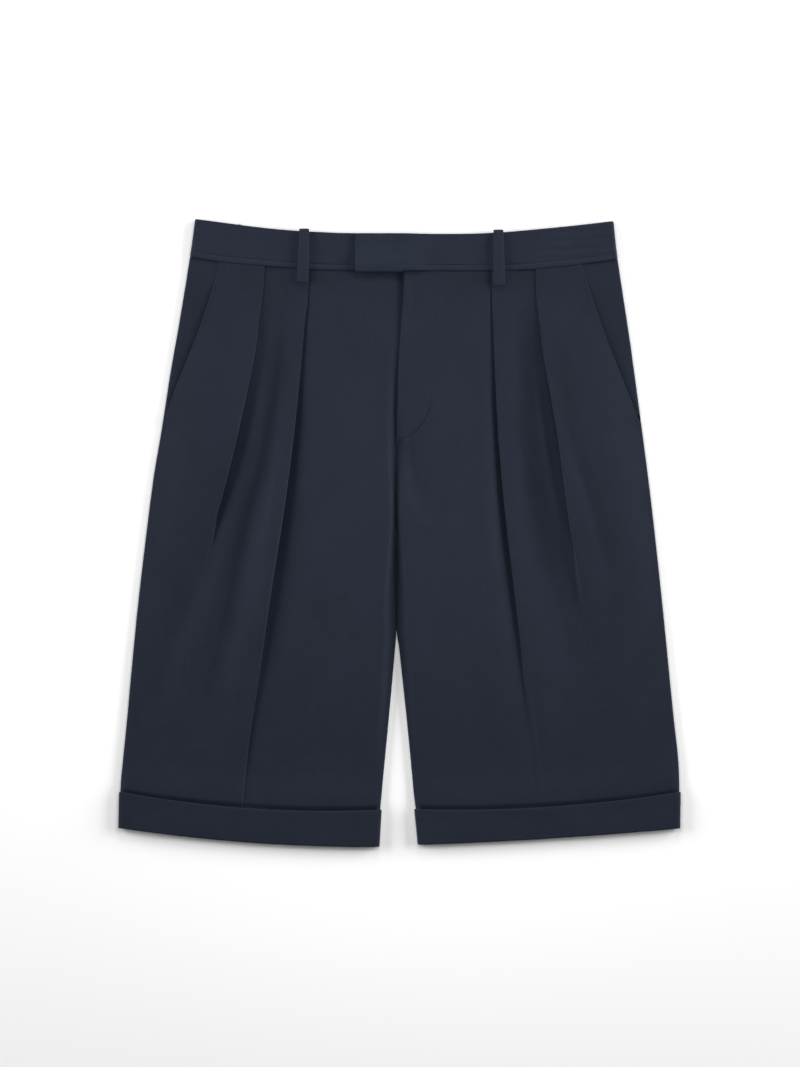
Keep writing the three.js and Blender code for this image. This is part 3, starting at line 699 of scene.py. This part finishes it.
def node(tree, kind, **sockets):
    made = tree.nodes.new(kind)
    for name, value in sockets.items():
        socket = made.inputs[name.replace("_", " ")]
        if isinstance(value, bpy.types.NodeSocket):
            tree.links.new(value, socket)
        else:
            socket.default_value = value
    return made


def maths(tree, operation, a, b=None, clamp=False):
    made = tree.nodes.new("ShaderNodeMath")
    made.operation = operation
    made.use_clamp = clamp
    for i, value in enumerate((a, b)):
        if value is None:
            continue
        if isinstance(value, bpy.types.NodeSocket):
            tree.links.new(value, made.inputs[i])
        else:
            made.inputs[i].default_value = value
    return made.outputs[0]


def new_material(name):
    """A material without nodes, and its tree."""
    material = bpy.data.materials.new(name)
    material.use_nodes = True
    material.node_tree.nodes.clear()
    return material, material.node_tree


def set_tones(ramp, colours, tone):
    for element, colour in zip(ramp.color_ramp.elements, colours):
        element.color = [c * tone for c in colour[:3]] + [1]


def show_shader(tree, shader):
    out = tree.nodes.new("ShaderNodeOutputMaterial")
    tree.links.new(shader.outputs[0], out.inputs[0])


def cloth_material(name, grain, tone=1.0, yarns_per_mm=2.1):
    """Fine plain weave: crossing yarns with slubs, a soft bloom and slow shifts of tone."""
    material, tree = new_material(name)

    def add(a, b):
        return maths(tree, "ADD", a, b)

    def times(a, b):
        return maths(tree, "MULTIPLY", a, b)

    place = node(tree, "ShaderNodeTexCoord").outputs["Object"]
    turned = node(tree, "ShaderNodeMapping", Vector=place, Rotation=(0, 0, grain))
    split = node(tree, "ShaderNodeSeparateXYZ", Vector=turned.outputs[0])
    x, y = split.outputs[0], split.outputs[1]

    pitch = math.pi * yarns_per_mm / MM
    warp_wave = maths(tree, "SINE", times(x, pitch))
    weft_wave = maths(tree, "SINE", times(y, pitch * 0.92))
    crossing = times(warp_wave, weft_wave)
    yarn_round = add(maths(tree, "ABSOLUTE", warp_wave), maths(tree, "ABSOLUTE", weft_wave))
    weave = add(times(crossing, 0.5), times(yarn_round, 0.3))

    def streaks(stretch, scale, detail):
        along = node(tree, "ShaderNodeMapping", Vector=turned.outputs[0], Scale=stretch)
        made = node(tree, "ShaderNodeTexNoise", Vector=along.outputs[0], Scale=scale, Detail=detail)
        return made.outputs["Fac"]

    slub_warp = streaks((1.0, 0.05, 1.0), 1500.0, 2.0)
    slub_weft = streaks((0.05, 1.0, 1.0), 1500.0, 2.0)
    slubs = add(slub_warp, slub_weft)
    cloud = streaks((1.0, 0.7, 1.0), 34.0, 3.0)
    speck = streaks((1.0, 1.0, 1.0), 420.0, 2.0)

    mix = add(times(slubs, 0.55), times(cloud, 0.4))
    mix = add(mix, times(speck, 0.25))
    mix = add(mix, times(weave, 0.16))
    ramp = node(tree, "ShaderNodeValToRGB", Fac=maths(tree, "SUBTRACT", mix, 0.45))
    ramp.color_ramp.elements[0].position = 0.15
    ramp.color_ramp.elements[1].position = 0.85
    ramp.color_ramp.elements.new(0.45)
    set_tones(ramp, (NAVY_DEEP, NAVY, NAVY_LIGHT), tone)

    height = add(times(weave, 0.6), times(slubs, 0.5))
    height = add(height, times(cloud, 1.2))
    bump = node(tree, "ShaderNodeBump", Height=height, Strength=0.5, Distance=0.00012)
    rough = add(times(speck, 0.12), 0.78)
    shader = node(
        tree,
        "ShaderNodeBsdfPrincipled",
        Base_Color=ramp.outputs[0],
        Roughness=rough,
        Normal=bump.outputs[0],
        Specular_IOR_Level=0.1,
        Sheen_Weight=0.05,
        Sheen_Roughness=0.55,
        Sheen_Tint=(0.55, 0.62, 0.8, 1),
    )
    show_shader(tree, shader)
    return material


def thread_material(name, tone=1.0):
    """Twisted sewing thread, smoother than the cloth."""
    material, tree = new_material(name)
    place = node(tree, "ShaderNodeTexCoord").outputs["Object"]
    twist = node(tree, "ShaderNodeTexWave", Vector=place, Scale=1800.0, Distortion=2.0)
    ramp = node(tree, "ShaderNodeValToRGB", Fac=twist.outputs["Fac"])
    set_tones(ramp, (THREAD_NAVY, THREAD_LIGHT), tone)
    bump = node(tree, "ShaderNodeBump", Height=twist.outputs["Fac"], Strength=0.4, Distance=0.00006)
    shader = node(
        tree,
        "ShaderNodeBsdfPrincipled",
        Base_Color=ramp.outputs[0],
        Normal=bump.outputs[0],
        Roughness=0.8,
        Specular_IOR_Level=0.08,
    )
    show_shader(tree, shader)
    return material


def floor_material():
    material = bpy.data.materials.new("floor")
    material.use_nodes = True
    shader = material.node_tree.nodes["Principled BSDF"]
    shader.inputs["Base Color"].default_value = (0.86, 0.86, 0.86, 1)
    shader.inputs["Roughness"].default_value = 0.9
    shader.inputs["Specular IOR Level"].default_value = 0.1
    return material


# Pieces


def make_front(side, material):
    cuff_edge = side.cuff_top[1]
    marks = (POCKET_FOOT_Y + 6, POCKET_FOOT_Y - 6, FLY_FOOT_Y)
    levels = [WAIST_SEAM_Y]
    for foot, step, kept in (
        (FINE_TOP_Y, ROW_STEP, ()),
        (FINE_FOOT_Y, FINE_STEP if side.sign > 0 else ROW_STEP, marks),
        (cuff_edge + 8, ROW_STEP, ()),
        (cuff_edge - 1, FINE_STEP, ()),
        (side.cuff_foot[1] + HEM_INSIDE_CUFF, ROW_STEP, ()),
    ):
        levels += levels_between(levels[-1], foot, step, kept)[1:]
    outer, inner = panel(side, levels, front_section, CLOTH, front_raise, FRONT_LOWEST)
    piece = dress(f"front_{side.name}", wall(outer, inner), material)
    return outer


def make_back(side, material):
    levels = levels_between(WAIST_SEAM_Y, side.cuff_foot[1] + HEM_INSIDE_CUFF, 4.0)
    walls = wall(*panel(side, levels, back_section, CLOTH, back_raise))
    piece = dress(f"back_{side.name}", walls, material)


def make_side_panel(side, material):
    levels = levels_between(WAIST_SEAM_Y, POCKET_FOOT_Y + 8, 2.5)
    walls = wall(*panel(side, levels, side_panel_section, CLOTH, panel_raise))
    piece = dress(f"side_panel_{side.name}", walls, material)


def band_front(side):
    """Waypoints of the waistband's front as (x, share of the climb on to the tab)."""
    if side.sign < 0:
        return [(x, 0.0) for x in np.linspace(-190, 1, 64)]
    climb = column([(40, 0.0), (30, 0.04), (20, 0.5), (10, 0.96), (0, 1.0)])
    return [(x, min(max(climb(x), 0.0), 1.0)) for x in np.linspace(196, TAB_END_X, 84)]


def band_section(side, y):
    """One row of a waistband half, from centre back round the side to its end at centre front."""
    radius = (BAND_TUBE - BAND_CLOTH) / 2
    back_level = BAND_CLOTH / 2
    front = BAND_TUBE - BAND_CLOTH / 2
    centre = side.centre(y) + SEAM / 2
    turn_start = side.outline(y) - BAND_TUBE / 2
    back = [
        (-u, back_level + loop_lift(side.sign * u, y))
        for u in np.linspace(centre, turn_start - 3, 60)
    ]
    turn = [(-turn_start - radius * p, front + radius * z) for p, z in bend(math.pi, 12)][::-1]
    over = [(-side.sign * x, front + climb * TAB_LIFT) for x, climb in band_front(side)]
    return back + turn + over


def bell(x, middle, width):
    return math.exp(-(((x - middle) / width) ** 2))


def band_relief(side, x, height, on_tab):
    """Relief of the waistband's front face: its seam allowance, the tab's curl and soft creases."""
    ridge = 0.3 * bell(height, 2.4, 1.5) - 0.8 * bell(height, 5.6, 0.8)
    uneven = 0.65 + 0.5 * noise.noise(Vector((x / 34, 4.2, side.sign)))
    relief = ridge * uneven * (1 - smoothstep(abs(x), 196, 206))
    if on_tab:
        relief *= 0 if x < -2 else 1
        share = 1 - smoothstep(x, -8, 34)
        relief += TAB_CURL * share * (1 - smoothstep(height, 5, 30))
        relief -= TAB_DROOP * share * (1 - smoothstep(height, 0, 6))
    relief += 0.22 * ripple(x, height * 3, 31.4 + side.sign, 26, 30)
    return relief + right_end_creases(x, height)


def make_waistband(side, material):
    """An interfaced strip with soft edges, and the ridge of its seam allowance showing through."""
    bottom = WAIST_SEAM_Y + SEAM / 2
    soft_edge = [0, 0.25, 0.7, 1.3, 2.0]
    inside = list(np.linspace(3.0, 9.8, 16)) + list(np.linspace(10.8, BAND_HEIGHT - 3.2, 20))
    heights = soft_edge + inside + [BAND_HEIGHT - h for h in soft_edge[::-1]]
    faces = ([], [])
    for height in heights:
        y = bottom + height
        near_edge = min(height, BAND_HEIGHT - height) / 1.4
        full = math.sqrt(1 - (1 - min(near_edge, 1)) ** 2) * 0.8 + 0.2
        middle = band_section(side, y)
        for face, (rows, points) in enumerate(zip(faces, offset_section(middle, BAND_CLOTH * full))):
            row = []
            for (p, z), (m, level) in zip(points, middle):
                x = -side.sign * p
                on_tab = level > BAND_TUBE
                rise = lerp(side.seam_rise(-m), side.top_rise(-m), height / BAND_HEIGHT)
                tab_share = (1 - smoothstep(x, 2.5, 5)) if on_tab else 0
                hang = TAB_DROP * (1 - smoothstep(height, 0, 9)) * tab_share
                seen = face == 0 and level > BAND_TUBE / 2
                relief = band_relief(side, x, height, on_tab) if seen else 0.0
                row.append((x, y + rise - hang, z + relief))
            rows.append(row)
    walls = wall(np.array(faces[0]), np.array(faces[1]))
    piece = dress(f"waistband_{side.name}", walls, material)


def right_end_creases(x, height):
    """Fine lengthwise creases near the viewer's right end of the waistband."""
    reach = smoothstep(x, 120, 160)
    if reach == 0:
        return 0.0
    wander = 1.5 * noise.noise(Vector((x / 18, height / 9, 5)))
    return reach * 0.16 * math.sin(height * 0.75 + 0.035 * x + wander)


def loop_ends(loop):
    """Heights at which a loop leaves the waistband's top edge and is sewn down below its seam."""
    side = sides["left" if loop["x"] < 0 else "right"]
    u = abs(loop["x"])
    high = WAIST_SEAM_Y + SEAM + BAND_HEIGHT + side.top_rise(u) + loop["top"]
    return high, WAIST_SEAM_Y + side.seam_rise(u) - loop["below"]


def make_front_loop(loop, material):
    """A flat folded strip that hooks over the waistband's top edge and is sewn down below its seam."""
    high, low = loop_ends(loop)
    thick = FRONT_LOOP_CLOTH
    base = BAND_TUBE + SEAM + thick / 2 + FRONT_LOOP_STAND
    points = [(high, 3.4)]
    for k in range(9):
        turn = math.pi / 2 * k / 8
        points.append((high - 1.1 * (1 - math.cos(turn)), base - 1.3 * (1 - math.sin(turn))))
    for k in range(1, 30):
        t = k / 30
        bulge = 0.9 * math.sin(math.pi * min(t * 1.1, 1)) - 0.3 * smoothstep(t, 0.78, 1)
        points.append((lerp(high - 1.1, low, t), base + bulge))
    points.append((low, base - 0.4))
    middle = np.array(points)
    run = np.diff(middle, axis=0)
    run = np.vstack([run, run[-1:]])
    run /= np.linalg.norm(run, axis=1, keepdims=True)
    up = np.stack([-run[:, 1], run[:, 0]], axis=1)
    if up[-1, 1] < 0:
        up = -up
    across = [-1, -0.97, -0.88, -0.7, -0.4, 0, 0.4, 0.7, 0.88, 0.97, 1]
    outer, inner = [], []
    for point, normal in zip(middle, up):
        down = (high - point[0]) / (high - low)
        corner = max(0.0, 1 - (point[0] - low) / 2.2)
        narrow = lerp(0.86, 1.04, down) - 0.16 * corner**2
        rows = ([], [])
        for w in across:
            rounding = math.sqrt(max(1 - abs(w) ** 6, 0.04))
            x = loop["x"] + w * LOOP_WIDTH / 2 * narrow + loop["lean"] * (point[0] - (high + low) / 2) / 50
            stitch = -0.16 * math.exp(-(((abs(w) - 0.62) / 0.07) ** 2))
            for rows_face, way in zip(rows, (1, -1)):
                reach = way * (thick / 2 * rounding) + (stitch if way > 0 else 0)
                rows_face.append((x, point[0] + normal[0] * reach, point[1] + normal[1] * reach))
        outer.append(rows[0])
        inner.append(rows[1])
    piece = dress(loop["name"], wall(np.array(outer), np.array(inner)), material)


def make_back_loop(loop, material):
    """A flat folded strip under the back waistband."""
    high, low = loop_ends(loop)
    across = [-1, -0.97, -0.88, -0.62, -0.3, 0, 0.3, 0.62, 0.88, 0.97, 1]
    outer, inner = [], []
    for y in np.linspace(high, low, 26):
        near_end = min(high - y, y - low) / 1.2
        full = math.sqrt(1 - (1 - min(near_end, 1)) ** 2) * 0.7 + 0.3
        rows = ([], [])
        for w in across:
            rounding = math.sqrt(max(1 - abs(w) ** 6, 0.05)) * full
            x = loop["x"] + w * LOOP_WIDTH / 2
            stitch = 0.14 * math.exp(-(((abs(w) - 0.62) / 0.1) ** 2))
            rows[0].append((x, y, BACK_LOOP_CLOTH / 2 * (1 + rounding)))
            rows[1].append((x, y, BACK_LOOP_CLOTH / 2 * (1 - rounding) + stitch))
        outer.append(rows[0])
        inner.append(rows[1])
    piece = dress(loop["name"], wall(np.array(outer), np.array(inner)), material)


def make_cuff(side, material):
    """A turn-up: a ring round the leg with a soft top edge, whose foot folds in under the leg."""
    tube = TUBE + 2 * CUFF_LIFT
    radius = tube / 2
    lip = CUFF_CLOTH + SEAM + CLOTH
    foot, top = side.cuff_foot, side.cuff_top
    flats, turns = 110, 12
    profile = [(0.0, 0.0, 1.2), (0.12, 0.0, 0.65), (0.45, 0.0, 0.25), (1.0, 0.0, 0.0)]
    profile += [(lip - 0.6, 0.0, 0.0), (lip - 0.15, 0.0, 0.3), (lip, 0.0, 1.0), (lip, 0.0, 4.0)]
    profile += [(CUFF_CLOTH, 0.0, 4.0)]
    profile += [(CUFF_CLOTH, share, 0.0) for share in (0.3, 0.6, 0.9)]
    profile += [(CUFF_CLOTH, 1.0, -0.6), (CUFF_CLOTH * 0.8, 1.0, -0.15), (CUFF_CLOTH * 0.45, 1.0, 0.0)]
    profile += [(0.15, 1.0, -0.25), (0.0, 1.0, -0.9)]
    profile += [(0.0, share, 0.0) for share in np.linspace(0.93, 0.07, 14)]

    stations = [(k / flats, 90.0) for k in range(flats)]
    stations += [(1.0, 90 - 180 * k / turns) for k in range(turns)]
    stations += [(1 - k / flats, -90.0) for k in range(flats)]
    stations += [(0.0, -90 - 180 * k / turns) for k in range(turns)]
    vertices = []
    for s, angle in stations:
        way = math.radians(angle)
        for inset, share, up in profile:
            level = lerp(foot[1], top[1], share) + up
            reach = radius - inset
            start = side.outline(level) + CUFF_LIFT - radius
            end = side.inseam(level) - CUFF_LIFT + radius
            u = lerp(start, end, s) - reach * math.cos(way)
            z = radius + reach * math.sin(way)
            y = lerp(hem_curve(foot, s), hem_curve(top, s), share) + up
            if angle == 90.0:
                middle = smoothstep(s, 0, 0.05) * (1 - smoothstep(s, 0.95, 1))
                z += 0.34 * middle * ripple(side.sign * u, y * 2.2, 41.0 + side.sign, 34, 60)
                z += 0.35 * middle * smoothstep(share, 0.7, 1)
            vertices.append((side.sign * u, y, max(z, 0.0)))
    around, steps = len(stations), len(profile)
    faces = []
    for j in range(around):
        for i in range(steps):
            a, b = j * steps + i, j * steps + (i + 1) % steps
            c = ((j + 1) % around) * steps + (i + 1) % steps
            d = ((j + 1) % around) * steps + i
            faces.append((a, b, c, d))
    piece = dress(f"cuff_{side.name}", (np.array(vertices), faces), material)


# Thread work


class Surface:
    """Height of a front's outer face over any point, read from its own rows."""

    def __init__(self, rows):
        count, columns = rows.shape[:2]
        faces = grid_faces(count, columns, 0, False)
        self.tree = BVHTree.FromPolygons(rows.reshape(-1, 3).tolist(), faces)

    def height(self, x, y):
        hit = self.tree.ray_cast(Vector((x, y, 60)), Vector((0, 0, -1)))
        return hit[0].z if hit[0] is not None else None


def capsule(start, end, radius, sides=6, rings=5):
    """A stitch: a short rod with round ends that arches a little between two points."""
    start, end = Vector(start), Vector(end)
    along = (end - start).normalized()
    side_way = along.cross(Vector((0, 0, 1))).normalized()
    up = side_way.cross(along).normalized()
    vertices, faces = [], []
    for k in range(rings + 1):
        t = k / rings
        swell = radius * math.sqrt(max(1 - (2 * t - 1) ** 4, 0.02))
        centre = start.lerp(end, t) + up * (radius * 0.5 * math.sin(math.pi * t))
        for j in range(sides):
            turn = 2 * math.pi * j / sides
            vertices.append(centre + side_way * (swell * math.cos(turn)) + up * (swell * math.sin(turn)))
    for k in range(rings):
        for j in range(sides):
            a, b = k * sides + j, k * sides + (j + 1) % sides
            faces.append((a, b, b + sides, a + sides))
    faces.append(tuple(range(sides))[::-1])
    faces.append(tuple(rings * sides + j for j in range(sides)))
    return [tuple(v) for v in vertices], faces


def join_parts(parts):
    vertices, faces = [], []
    for part_vertices, part_faces in parts:
        base = len(vertices)
        vertices += part_vertices
        faces += [tuple(i + base for i in face) for face in part_faces]
    return np.array(vertices), faces


def along_path(points, step):
    """Points about a step apart along a path."""
    points = [Vector((x, y)) for x, y in points]
    lengths = [0.0]
    for a, b in zip(points, points[1:]):
        lengths.append(lengths[-1] + (b - a).length)
    count = max(2, round(lengths[-1] / step))
    spread = np.linspace(0, lengths[-1], count + 1)
    xs = np.interp(spread, lengths, [p.x for p in points])
    ys = np.interp(spread, lengths, [p.y for p in points])
    return list(zip(xs, ys))


def stitch(surface, start, end, lift, radius, **rod):
    """One stitch on a surface, or none where its ends miss it."""
    heights = surface.height(*start), surface.height(*end)
    if None in heights:
        return []
    return [capsule((*start, heights[0] + lift), (*end, heights[1] + lift), radius, **rod)]


def stitch_row(surface, path, pitch=2.6, gap=0.7, radius=0.2, sink=0.06):
    """Stitches laid end to end along a path on a surface."""
    parts = []
    spots = along_path(path, pitch)
    for (xa, ya), (xb, yb) in zip(spots, spots[1:]):
        t = gap / pitch / 2
        a = (lerp(xa, xb, t), lerp(ya, yb, t))
        b = (lerp(xa, xb, 1 - t), lerp(ya, yb, 1 - t))
        parts += stitch(surface, a, b, -sink, radius)
    return parts


def zigzag(surface, x, y, width, height, strokes=5):
    """A small open zigzag of single stitches."""
    parts = []
    spots = [(x + width * (k % 2 - 0.5), y + height * (0.5 - k / strokes)) for k in range(strokes + 1)]
    for a, b in zip(spots, spots[1:]):
        parts += stitch(surface, a, b, -0.05, 0.14)
    return parts


def bartack(surface, x, y, angle, length, width=1.5, lift=0.02):
    """A dense zigzag of short stitches that holds a corner."""
    parts = []
    way = Vector((math.cos(angle), math.sin(angle)))
    over = Vector((-way.y, way.x))
    count = round(length / 0.42)
    for k in range(count):
        centre = Vector((x, y)) + way * (length * (k / (count - 1) - 0.5))
        a, b = centre - over * width / 2, centre + over * width / 2
        parts += stitch(surface, a, b, lift, 0.19, sides=6, rings=3)
    return parts


def make_threads(surfaces):
    deep, pale = thread_material("thread_deep"), thread_material("thread_pale", 2.8)
    right = surfaces["right"]
    fly = stitch_row(right, FLY_STITCH[:9], sink=0.1)
    fly += bartack(right, 0.6, 91.5, 0.2, 5.0)
    make_threads_piece("fly_stitches", fly, deep)
    make_threads_piece("fly_stitches_above", stitch_row(right, FLY_STITCH[8:], sink=0.16), pale)
    for name, surface in surfaces.items():
        side = sides[name]
        rows = []
        for inset, top, foot in ((1.6, 258, 112), (6.4, 148, 112)):
            mouth = [(side.pocket(y) - inset, y) for y in np.linspace(top, foot, 40)]
            path = [(side.sign * u, side.warp(u, y)) for u, y in mouth]
            rows += stitch_row(surface, path, pitch=3.0, radius=0.16, sink=0.1)
        u = side.pocket(236) - 2.4
        slope = math.atan2(-27, side.sign * 8.5)
        rows += bartack(surface, side.sign * u, side.warp(u, 236), slope, 6.5, lift=-0.06)
        u = side.pocket(258) - 6.5
        rows += zigzag(surface, side.sign * u, side.warp(u, 256), 3.6, 5.0)
        make_threads_piece(f"pocket_stitches_{name}", rows, pale)


def make_threads_piece(name, parts, material):
    vertices, faces = join_parts(parts)
    return make_piece(name, vertices, faces, material, sharp=60)


def make_floor():
    size, drop = 4.0, 0.0003
    mesh = bpy.data.meshes.new("floor")
    corners = [(-size, -size, -drop), (size, -size, -drop), (size, size, -drop), (-size, size, -drop)]
    mesh.from_pydata(corners, [], [(0, 1, 2, 3)])
    mesh.materials.append(floor_material())
    floor = bpy.data.objects.new("floor", mesh)
    bpy.context.scene.collection.objects.link(floor)


def add_area_light(name, place, size, power, aim=(0, 0, 0)):
    data = bpy.data.lights.new(name, "AREA")
    data.shape = "RECTANGLE"
    data.size, data.size_y = size
    data.energy = power
    light = bpy.data.objects.new(name, data)
    light.location = place
    light.visible_camera = False
    light.rotation_mode = "QUATERNION"
    light.rotation_quaternion = (Vector(aim) - Vector(place)).to_track_quat("-Z", "Y")
    bpy.context.scene.collection.objects.link(light)


def light_scene():
    """Plain soft studio light: one low from each side, and two weaker ones from above the waist."""
    scene = bpy.context.scene
    add_area_light("right", (2.6, 0.7, 0.82), (2.4, 1.5), 150)
    add_area_light("left", (-2.6, 0.7, 0.82), (2.4, 1.5), 129)
    add_area_light("waist", (0.1, 1.9, 1.0), (0.8, 0.8), 16)
    add_area_light("top", (0.01, 0.01, 0.5), (0.25, 0.25), 1.3)
    world = bpy.data.worlds.new("studio")
    scene.world = world
    world.use_nodes = True
    background = world.node_tree.nodes["Background"]
    background.inputs["Color"].default_value = (1, 1, 1, 1)
    background.inputs["Strength"].default_value = 0.06
    scene.view_settings.view_transform = "Standard"
    scene.view_settings.look = "None"
    scene.view_settings.exposure = 0.0


def make_camera():
    """Straight down on the garment, framed as in the photograph: 1 mm to a pixel."""
    photo_height = 1.067
    distance = 3.4
    data = bpy.data.cameras.new("camera")
    data.sensor_width = 36
    data.lens = data.sensor_width * distance / photo_height
    camera = bpy.data.objects.new("camera", data)
    camera.location = (CENTRING[0] * MM, (CENTRING[1] - 0.5) * MM, distance)
    bpy.context.scene.collection.objects.link(camera)
    bpy.context.scene.camera = camera


make_camera()
light_scene()
make_floor()

sides = {name: Side(name, table) for name, table in SIDES.items()}
# Painted light: the waistband and belt loops take a copy of the navy weave painted 16% lighter, standing in
# for the extra light that falls on the waist
band_cloth_painted_lighter = cloth_material("navy_weave_band_painted_lighter", 0.0, tone=1.16)
cuff_cloth = cloth_material("navy_weave_cuff", 0.0, tone=1.0)
surfaces = {}
for name, side in sides.items():
    cloth = cloth_material(f"navy_weave_{name}", SIDES[name]["grain"])
    surfaces[name] = Surface(make_front(side, cloth))
    make_back(side, cloth)
    make_side_panel(side, cloth)
    make_waistband(side, band_cloth_painted_lighter)
    make_cuff(side, cuff_cloth)
for loop in LOOPS:
    if loop["front"]:
        make_front_loop(loop, band_cloth_painted_lighter)
    else:
        make_back_loop(loop, band_cloth_painted_lighter)
make_threads(surfaces)

bpy.context.view_layer.update()
